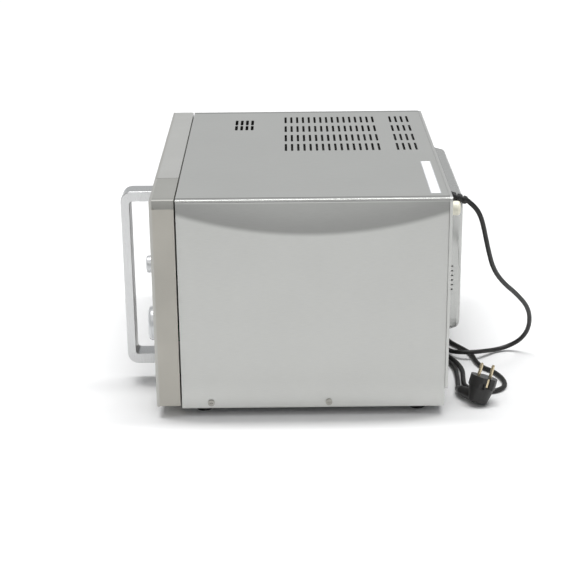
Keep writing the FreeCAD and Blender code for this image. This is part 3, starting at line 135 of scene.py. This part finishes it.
class Finish:
    """A node material with a principled shader and helpers for procedural detail."""

    def __init__(self, name, colour, metallic, roughness):
        self.material = bpy.data.materials.new(name)
        self.material.use_nodes = True
        self.tree = self.material.node_tree
        self.shader = self.tree.nodes["Principled BSDF"]
        self.colour = colour
        self.roughness = roughness
        self.shader.inputs["Base Color"].default_value = (*colour, 1.0)
        self.shader.inputs["Metallic"].default_value = metallic
        self.shader.inputs["Roughness"].default_value = roughness
        self.coordinates = self.tree.nodes.new("ShaderNodeTexCoord").outputs["Object"]
        self.height = None

    def add(self, kind, **values):
        """A new node with its properties set."""
        node = self.tree.nodes.new(kind)
        for key, value in values.items():
            setattr(node, key, value)
        return node

    def link(self, output, socket):
        """Joins an output to an input."""
        self.tree.links.new(output, socket)

    def noise(self, scale, stretch=(1, 1, 1), detail=3.0):
        """Noise in the object's space; stretch multiplies the frequency per axis."""
        mapping = self.add("ShaderNodeMapping")
        mapping.inputs["Scale"].default_value = stretch
        self.link(self.coordinates, mapping.inputs["Vector"])
        noise = self.add("ShaderNodeTexNoise")
        noise.inputs["Scale"].default_value = scale
        noise.inputs["Detail"].default_value = detail
        self.link(mapping.outputs["Vector"], noise.inputs["Vector"])
        return noise.outputs["Fac"]

    def spread(self, value, low, high, start=0.3, end=0.7):
        """Maps a value from start..end, by default a noise's useful middle range, to low..high."""
        ramp = self.add("ShaderNodeMapRange")
        ramp.inputs["From Min"].default_value = start
        ramp.inputs["From Max"].default_value = end
        ramp.inputs["To Min"].default_value = low
        ramp.inputs["To Max"].default_value = high
        self.link(value, ramp.inputs["Value"])
        return ramp.outputs["Result"]

    def blend(self, factor, other):
        """Mixes the base colour with another one by a factor between 0 and 1."""
        mix = self.add("ShaderNodeMix", data_type="RGBA")
        base = self.shader.inputs["Base Color"]
        self.link(factor, mix.inputs["Factor"])
        if base.is_linked:
            self.link(base.links[0].from_socket, mix.inputs["A"])
        else:
            mix.inputs["A"].default_value = (*self.colour, 1.0)
        mix.inputs["B"].default_value = (*other, 1.0)
        self.link(mix.outputs["Result"], base)

    def tint(self, value, other, strength=1.0):
        """Blends the base colour towards another one by a noise value."""
        self.blend(self.spread(value, 0.0, strength), other)

    def vary_roughness(self, value, amount):
        """Lets the roughness drift by a value."""
        self.link(self.spread(value, self.roughness - amount, self.roughness + amount),
                  self.shader.inputs["Roughness"])

    def bump(self, value, distance, strength=1.0):
        """Adds relief; several calls stack."""
        node = self.add("ShaderNodeBump")
        node.inputs["Distance"].default_value = distance
        node.inputs["Strength"].default_value = strength
        self.link(value, node.inputs["Height"])
        if self.height is not None:
            self.link(self.height, node.inputs["Normal"])
        self.height = node.outputs["Normal"]
        self.link(self.height, self.shader.inputs["Normal"])

    def value(self, operation, *inputs):
        """A math node; each input is a number or another node's output."""
        node = self.add("ShaderNodeMath", operation=operation)
        for socket, given in zip(node.inputs, inputs):
            if isinstance(given, (int, float)):
                socket.default_value = given
            else:
                self.link(given, socket)
        return node.outputs[0]

    def ramp(self, value, low, high, at_low, at_high):
        """Maps a value's range to another one, smoothly."""
        node = self.add("ShaderNodeMapRange", interpolation_type="SMOOTHSTEP")
        for socket, given in zip(RAMP_SOCKETS, (low, high, at_low, at_high)):
            node.inputs[socket].default_value = given
        self.link(value, node.inputs["Value"])
        return node.outputs["Result"]

    def scale_colour(self, factor):
        """Multiplies the base colour by a value."""
        node = self.add("ShaderNodeVectorMath", operation="SCALE")
        base = self.shader.inputs["Base Color"]
        self.link(base.links[0].from_socket, node.inputs[0])
        self.link(factor, node.inputs["Scale"])
        self.link(node.outputs["Vector"], base)

    def product(self, first, *others):
        """Several values multiplied."""
        for other in others:
            first = self.value("MULTIPLY", first, other)
        return first

    def total(self, first, *others):
        """Several values added."""
        for other in others:
            first = self.value("ADD", first, other)
        return first

    def band(self, value, low, high, soft=0.0005):
        """One between two values and zero outside them, with soft ends."""
        rise = self.ramp(value, low - soft, low + soft, 0.0, 1.0)
        fall = self.ramp(value, high - soft, high + soft, 1.0, 0.0)
        return self.product(rise, fall)

    def axes(self, vector=None):
        """The X, Y and Z of a vector, by default of the place in the object's space."""
        node = self.add("ShaderNodeSeparateXYZ")
        self.link(self.coordinates if vector is None else vector, node.inputs["Vector"])
        return node.outputs

    def facing(self):
        """The place, its distance from the middle plane, and whether the surface faces sideways or up."""
        place = self.axes()
        geometry = self.add("ShaderNodeNewGeometry")
        normal = self.axes(geometry.outputs["True Normal"])
        sideways = self.value("GREATER_THAN", self.value("ABSOLUTE", normal["X"]), 0.9)
        upward = self.value("GREATER_THAN", normal["Z"], 0.95)
        return place, self.value("ABSOLUTE", place["X"]), sideways, upward

    def painted_arc_shade(self, place):
        """Painted shade on the crescent that is pressed into the shell's sides, with a painted glint at
        its upper end.
        """
        across = self.value("SUBTRACT", place["Y"], ARC_CENTRE[0])
        down = self.value("SUBTRACT", place["Z"], ARC_CENTRE[1])
        reach = self.value("SQRT", self.total(self.product(across, across), self.product(down, down)))
        inside = self.ramp(reach, ARC_RADIUS + ARC_BLUR_OUT, ARC_RADIUS - ARC_BLUR_IN, 0.0, 1.0)
        # Painted shade, darkest at the arc and lighter towards the top
        fade = self.ramp(reach, ARC_RADIUS - ARC_DEPTH, ARC_RADIUS, *ARC_PAINTED_SHADE)
        below = self.value("LESS_THAN", place["Z"], STRIP_BOTTOM - 0.0003)
        # Painted glint: the painted shade is mostly lifted just under the top strip
        painted_glint = self.ramp(place["Z"], *PAINTED_GLINT_HEIGHTS, 1.0, 0.25)
        return self.product(inside, fade, below, painted_glint)

    def painted_shell_shade(self):
        """Paints shade on the pressed crescent of the shell's sides, painted dark lines along the fold
        above it and along the top, and paints the sides, the top and the rounded edges darker, the sides
        less so towards the floor.
        """
        place, reach_out, sideways, upward = self.facing()
        # Painted shade on the sides that fades out towards the floor, so the bottom of the sides is
        # painted lighter
        painted_fade_to_floor = self.ramp(place["Z"], *SIDE_SHADE_PAINTED_FADE, 0.0, 0.14)
        # Painted dark line along the side fold
        painted_fold_line = self.product(self.band(place["Z"], *SIDE_FOLD, 0.0003), PAINTED_LINE_STRENGTH)
        # Painted dark reflection line on the top near each side
        painted_top_line = self.product(self.band(reach_out, *TOP_PAINTED_LINE), PAINTED_LINE_STRENGTH)
        side = self.total(painted_fade_to_floor, self.painted_arc_shade(place), painted_fold_line)
        # Top faces painted darker
        top = self.total(painted_top_line, 0.15)
        bend = self.value("SUBTRACT", 1.0, self.total(sideways, upward))
        # Rounded edges above the fold painted darker, a painted shade that dims their highlight
        painted_fillet_shade = self.product(self.value("GREATER_THAN", place["Z"], SIDE_FOLD[1]), 0.40)
        painted_light_and_shade = self.total(self.product(side, sideways), self.product(top, upward),
                          self.product(bend, painted_fillet_shade))
        self.scale_colour(self.value("SUBTRACT", 1.0, painted_light_and_shade))

    def painted_cap_light(self):
        """Paints a highlight on the folded edge of the cap band, and painted shade on the strip beside it
        and on its side.
        """
        place, reach_out, sideways, upward = self.facing()
        # Painted highlight on the folded edge
        painted_edge_highlight = self.product(self.band(reach_out, *CAP_PAINTED_HIGHLIGHT), upward)
        # Painted dark line on the strip beside the edge
        dark = self.product(self.band(reach_out, *CAP_PAINTED_DARK_LINE), upward)
        # Painted shade on the side, stronger lower down
        side = self.ramp(place["Z"], *CAP_PAINTED_SIDE_SHADE, 0.30, 0.16)
        painted_light_and_shade = self.total(self.product(dark, 0.2), self.product(side, sideways))
        painted_light_and_shade = self.value("SUBTRACT", painted_light_and_shade, self.product(painted_edge_highlight, 0.75))
        self.scale_colour(self.value("SUBTRACT", 1.0, painted_light_and_shade))

    def wear(self, other, strength):
        """Lightens the convex edges, where handling polishes them."""
        geometry = self.add("ShaderNodeNewGeometry")
        self.blend(self.spread(geometry.outputs["Pointiness"], 0.0, strength, 0.53, 0.62), other)


def shade(colour, factor):
    """A colour made lighter or darker."""
    return tuple(min(1.0, c * factor) for c in colour)


def brushed(name, colour, grain, metallic=0.75, roughness=0.38):
    """Brushed sheet metal: fine streaks and a patchy sheen."""
    finish = Finish(name, colour, metallic, roughness)
    streaks = finish.noise(2600.0, grain)
    patches = finish.noise(9.0, detail=2.0)
    finish.tint(streaks, shade(colour, 0.86), 0.4)
    finish.tint(patches, shade(colour, 1.06), 0.3)
    finish.vary_roughness(streaks, 0.04)
    finish.bump(streaks, 0.00002, 0.2)
    finish.bump(patches, 0.0004, 0.04)
    return finish


def lacquer(name, colour, metallic=0.0, roughness=0.35, flake=0.0):
    """Sprayed lacquer: fine orange peel, with metal flake where asked."""
    finish = Finish(name, colour, metallic, roughness)
    peel = finish.noise(900.0, detail=2.0)
    drift = finish.noise(14.0)
    if flake:
        grains = finish.noise(5200.0, detail=1.0)
        finish.tint(grains, shade(colour, 1.0 + flake), 0.7)
    finish.tint(drift, shade(colour, 0.93), 0.6)
    finish.vary_roughness(drift, 0.04)
    finish.bump(peel, 0.00003, 0.25)
    return finish


def moulded(name, colour, roughness):
    """Moulded plastic with a fine spark-eroded grain."""
    finish = Finish(name, colour, 0.0, roughness)
    texture = finish.noise(1800.0)
    drift = finish.noise(22.0)
    finish.tint(drift, shade(colour, 1.35), 0.35)
    finish.vary_roughness(texture, 0.06)
    finish.bump(texture, 0.00005, 0.4)
    finish.wear(shade(colour, 1.8), 0.3)
    return finish.material


def plated(name, colour, roughness=0.16):
    """Bright plated steel with faint handling marks."""
    finish = Finish(name, colour, 1.0, roughness)
    marks = finish.noise(160.0, detail=5.0)
    finish.tint(marks, shade(colour, 0.8), 0.5)
    finish.vary_roughness(marks, 0.07)
    finish.bump(marks, 0.00003, 0.3)
    return finish.material


def galvanised(name, colour):
    """Zinc-coated sheet with its soft crystal pattern."""
    finish = Finish(name, colour, 0.8, 0.42)
    cells = finish.add("ShaderNodeTexVoronoi")
    cells.inputs["Scale"].default_value = 90.0
    finish.link(finish.coordinates, cells.inputs["Vector"])
    crystals = finish.add("ShaderNodeSeparateColor")
    finish.link(cells.outputs["Color"], crystals.inputs["Color"])
    finish.tint(crystals.outputs["Red"], shade(colour, 0.86), 0.6)
    finish.vary_roughness(crystals.outputs["Green"], 0.06)
    finish.bump(finish.noise(700.0), 0.00002, 0.3)
    return finish.material


def dark_glass(name, colour):
    """Dark printed glass: deep gloss with faint lighter smears."""
    finish = Finish(name, colour, 0.0, 0.06)
    finish.shader.inputs["Coat Weight"].default_value = 0.6
    finish.shader.inputs["Coat Roughness"].default_value = 0.03
    smears = finish.noise(18.0, detail=4.0)
    finish.tint(smears, shade(colour, 1.6), 0.4)
    finish.vary_roughness(smears, 0.02)
    finish.bump(finish.noise(3.0), 0.0002, 0.05)
    return finish.material


def clear_glass(name, colour):
    """Clear glass with a slight tint and a few smears."""
    finish = Finish(name, colour, 0.0, 0.04)
    finish.shader.inputs["Transmission Weight"].default_value = 0.92
    finish.shader.inputs["IOR"].default_value = 1.47
    smears = finish.noise(26.0, detail=4.0)
    finish.vary_roughness(smears, 0.03)
    finish.bump(smears, 0.0001, 0.05)
    return finish.material


def circuit_board(name, colour):
    """Coated circuit board with a pattern of tracks under the green mask."""
    finish = Finish(name, colour, 0.0, 0.32)
    tracks = finish.add("ShaderNodeTexBrick")
    tracks.inputs["Scale"].default_value = 160.0
    tracks.inputs["Mortar Size"].default_value = 0.06
    finish.link(finish.coordinates, tracks.inputs["Vector"])
    finish.tint(tracks.outputs["Fac"], shade(colour, 2.2), 0.7)
    finish.vary_roughness(finish.noise(60.0), 0.05)
    finish.bump(tracks.outputs["Fac"], 0.00004, 0.5)
    return finish.material


def perforated(name, colour, node):
    """Blackened sheet with rows of fine round holes inside a plain rim."""
    low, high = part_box(node)
    finish = Finish(name, colour, 0.4, 0.45)
    finish.tint(finish.noise(14.0), shade(colour, 0.9), 0.6)
    finish.vary_roughness(finish.noise(60.0), 0.04)
    cells = finish.add("ShaderNodeTexVoronoi")
    cells.inputs["Scale"].default_value = 420.0
    cells.inputs["Randomness"].default_value = 0.0
    finish.link(finish.coordinates, cells.inputs["Vector"])
    place = finish.axes()
    hole = finish.ramp(cells.outputs["Distance"], 0.30, 0.42, 0.85, 0.0)
    rim = 0.018
    for axis, index in (("X", 0), ("Z", 2)):
        hole = finish.product(hole, finish.band(place[axis], low[index] + rim, high[index] - rim))
    finish.scale_colour(finish.value("SUBTRACT", 1.0, hole))
    return finish.material


def rubber(name, colour):
    """Extruded cable sheath: slight sheen, fine lengthwise unevenness and dust."""
    finish = Finish(name, colour, 0.0, 0.5)
    ripple = finish.noise(240.0)
    dust = finish.noise(40.0, detail=5.0)
    finish.tint(dust, shade(colour, 2.0), 0.25)
    finish.vary_roughness(ripple, 0.08)
    finish.bump(ripple, 0.00006, 0.4)
    return finish.material


def heated_metal(name, colour):
    """Heater sheath, blued and browned by heat."""
    finish = Finish(name, colour, 0.7, 0.45)
    bands = finish.noise(30.0, detail=4.0)
    finish.tint(bands, (0.16, 0.10, 0.07), 0.7)
    finish.tint(finish.noise(70.0), (0.10, 0.11, 0.15), 0.5)
    finish.bump(finish.noise(900.0), 0.00004, 0.4)
    return finish.material


def mica_sheet(name, colour):
    """Mica sheet with flaky layers."""
    finish = Finish(name, colour, 0.1, 0.35)
    flakes = finish.noise(120.0, (1, 1, 1.6), 6.0)
    finish.tint(flakes, shade(colour, 0.7), 0.8)
    finish.tint(finish.noise(420.0), shade(colour, 1.3), 0.5)
    finish.bump(flakes, 0.00008, 0.5)
    return finish.material


def blank_label(name, colour, node):
    """Plain white label with a thin grey border and faint paper fibre."""
    low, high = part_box(node)
    finish = Finish(name, colour, 0.0, 0.45)
    finish.tint(finish.noise(700.0), shade(colour, 0.95), 0.6)
    finish.bump(finish.noise(1500.0), 0.00002, 0.3)
    place = finish.axes()
    border = 0.0012
    edge = None
    for axis, index in (("X", 0), ("Y", 1)):
        middle = (low[index] + high[index]) / 2
        half = (high[index] - low[index]) / 2
        offset = finish.value("ABSOLUTE", finish.value("SUBTRACT", place[axis], middle))
        beyond = finish.value("SUBTRACT", offset, half - border)
        edge = beyond if edge is None else finish.value("MAXIMUM", edge, beyond)
    finish.blend(finish.value("GREATER_THAN", edge, 0.0), BORDER_GREY)
    return finish.material


def dress_nodes():
    """Gives every CAD node its material."""
    shell_finish = brushed("shell_steel", SHELL, (1, 0.03, 1))
    # Painted shade, painted dark lines and a painted glint on the shell
    shell_finish.painted_shell_shade()
    shell_metal = shell_finish.material
    front_metal = brushed("front_steel", (0.46, 0.455, 0.43), (0.03, 1, 1), 0.6, 0.36).material
    zinc = galvanised("zinc_plate", ZINC)
    rear_steel = brushed("rear_steel", shade(SHELL, 0.9), (0.03, 1, 1)).material
    drawn = lacquer("drawn_steel", (0.51, 0.515, 0.50), 0.75, 0.26).material
    stainless = brushed("cavity_steel", (0.58, 0.58, 0.57), (1, 0.02, 1), 0.95, 0.30).material
    enamel = lacquer("white_enamel", (0.78, 0.78, 0.76), 0.0, 0.30).material
    frame_paint = lacquer("frame_silver", (0.41, 0.395, 0.355), 0.35, 0.38, 0.25).material
    door_paint = lacquer("door_silver", (0.40, 0.40, 0.385), 0.35, 0.38, 0.25).material
    cap_finish = lacquer("cap_grey", (0.35, 0.348, 0.325), 0.45, 0.34, 0.2)
    # Painted highlight and painted shade on the cap band
    cap_finish.painted_cap_light()
    cap_paint = cap_finish.material
    aluminium = brushed("handle_aluminium", (0.63, 0.635, 0.635), (1, 1, 0.015), 0.9, 0.30).material
    knob_paint = lacquer("knob_silver", (0.63, 0.64, 0.65), 0.4, 0.28, 0.2).material
    black_glass = dark_glass("black_glass", (0.012, 0.012, 0.014))
    clear = clear_glass("clear_glass", (0.93, 0.96, 0.95))
    black = moulded("black_plastic", (0.012, 0.0115, 0.011), 0.42)
    grey = moulded("grey_plastic", (0.20, 0.20, 0.21), 0.5)
    white = moulded("white_plastic", (0.72, 0.72, 0.69), 0.45)
    cream = moulded("cream_plastic", (0.80, 0.77, 0.64), 0.36)
    plate = plated("plated_steel", (0.72, 0.72, 0.73))
    dull_plate = plated("dull_screws", (0.40, 0.39, 0.36), 0.34)
    dark = lacquer("dark_laminations", (0.05, 0.05, 0.055), 0.4, 0.45).material
    screen = perforated("screen_black", (0.10, 0.10, 0.105), "door_screen")
    hot = heated_metal("heater_sheath", (0.10, 0.095, 0.09))
    board = circuit_board("board_green", (0.03, 0.13, 0.06))
    mica = mica_sheet("mica_sheet", (0.55, 0.48, 0.36))
    label = blank_label("label_white", (0.86, 0.86, 0.86), "top_label")
    brass = plated("pin_brass", (0.66, 0.56, 0.38), 0.28)
    dressing = {
        shell_metal: ["shell"],
        rear_steel: ["rear_panel"],
        cream: ["rear_spacer"],
        zinc: ["base_plate", "fan_housing", "convection_fan", "turntable_motor", "cavity_lamp",
               "hinge_lower", "hinge_upper", "wave_guide", "magnetron", "capacitor"],
        drawn: ["duct_cover"],
        stainless: ["cavity"],
        enamel: ["front_plate"],
        frame_paint: ["panel_housing"],
        door_paint: ["door_frame"],
        front_metal: ["door_skin", "panel_fascia"],
        cap_paint: ["panel_cap"],
        aluminium: ["handle"],
        knob_paint: ["knob_upper", "knob_lower"],
        black_glass: ["door_glass", "display_window"],
        clear: ["glass_tray", "door_inner_glass"],
        black: ["feet", "latch_switches", "start_button", "stop_button", "thermostat", "strain_relief",
                "plug_body"],
        grey: ["encoders", "fan_shroud", "cooling_fan"],
        white: ["turntable_coupler", "roller_ring", "latch_hooks", "latch_bracket"],
        plate: ["rear_screws", "handle_screws"],
        dull_plate: ["side_screws"],
        dark: ["convection_motor", "transformer"],
        screen: ["door_screen"],
        hot: ["ring_heater", "grill_heater"],
        board: ["control_board", "noise_filter"],
        mica: ["wave_cover"],
        label: ["top_label"],
        brass: ["plug_pins"],
    }
    for material, names in dressing.items():
        for name in names:
            mesh = nodes[name].data
            mesh.materials.clear()
            mesh.materials.append(material)


# ---- mains lead ----

def make_cord():
    """The mains lead on one smooth curve from the strain relief to the plug."""
    data = bpy.data.curves.new("mains_lead", "CURVE")
    data.dimensions = "3D"
    spline = data.splines.new("NURBS")
    spline.points.add(len(CORD_ROUTE) - 1)
    for point, place in zip(spline.points, CORD_ROUTE):
        point.co = (*place, 1.0)
    spline.order_u = 3
    spline.use_endpoint_u = True
    spline.resolution_u = 10
    data.bevel_depth = CORD_DIAMETER / 2
    data.bevel_resolution = 6
    data.use_fill_caps = True
    lead = bpy.data.objects.new("mains_lead", data)
    scene.collection.objects.link(lead)
    data.materials.append(rubber("cord_black", (0.010, 0.0095, 0.009)))
    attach(lead, "oven")
    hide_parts("cord_tube")


# ---- stage ----

# The room's brightness runs from the first strength to the second between these two directions along X
ROOM_DIRECTIONS = (-0.9, 0.5)
ROOM_STRENGTHS = (0.50, 0.33)


def make_floor():
    """A plain pale floor."""
    size = 6.0
    mesh = bpy.data.meshes.new("floor")
    corners = [(-size, -size, 0), (size, -size, 0), (size, size, 0), (-size, size, 0)]
    mesh.from_pydata(corners, [], [(0, 1, 2, 3)])
    floor = bpy.data.objects.new("floor", mesh)
    scene.collection.objects.link(floor)
    finish = Finish("floor_white", (0.86, 0.86, 0.86), 0.0, 0.55)
    finish.tint(finish.noise(3.0), (0.84, 0.84, 0.845), 0.5)
    mesh.materials.append(finish.material)


def area_light(name, place, target, width, height, power, colour=(1, 1, 1)):
    """A soft rectangular light aimed at a point."""
    data = bpy.data.lights.new(name, "AREA")
    data.shape = "RECTANGLE"
    data.size = width
    data.size_y = height
    data.energy = power
    data.color = colour
    light = bpy.data.objects.new(name, data)
    light.location = place
    aim = Vector(target) - Vector(place)
    light.rotation_euler = aim.to_track_quat("-Z", "Y").to_euler()
    scene.collection.objects.link(light)


def light_stage():
    """Two soft lamps high above, a fill from the viewer's side, and a room that is brighter beyond."""
    world = bpy.data.worlds.new("studio")
    world.use_nodes = True
    tree = world.node_tree
    background = tree.nodes["Background"]
    background.inputs["Color"].default_value = (0.97, 0.985, 1.0, 1.0)
    direction = tree.nodes.new("ShaderNodeTexCoord")
    axes = tree.nodes.new("ShaderNodeSeparateXYZ")
    tree.links.new(direction.outputs["Generated"], axes.inputs["Vector"])
    ramp = tree.nodes.new("ShaderNodeMapRange")
    for socket, given in zip(RAMP_SOCKETS, (*ROOM_DIRECTIONS, *ROOM_STRENGTHS)):
        ramp.inputs[socket].default_value = given
    tree.links.new(axes.outputs["X"], ramp.inputs["Value"])
    tree.links.new(ramp.outputs["Result"], background.inputs["Strength"])
    scene.world = world
    area_light("key", (-0.90, 0.0, 12.0), (-0.90, 0.0, 0.0), 1.3, 12.0, 1250.0)
    area_light("ceiling", (0.0, 0.0, 11.0), (0.0, 0.0, 0.0), 9.0, 9.0, 400.0)
    area_light("side_fill", (2.6, -0.5, 2.4), (0, 0, 0.2), 1.8, 1.2, 10.0, (1.0, 0.98, 0.95))
    scene.view_settings.view_transform = "Standard"


make_camera()
make_cord()
dress_nodes()
make_floor()
light_stage()
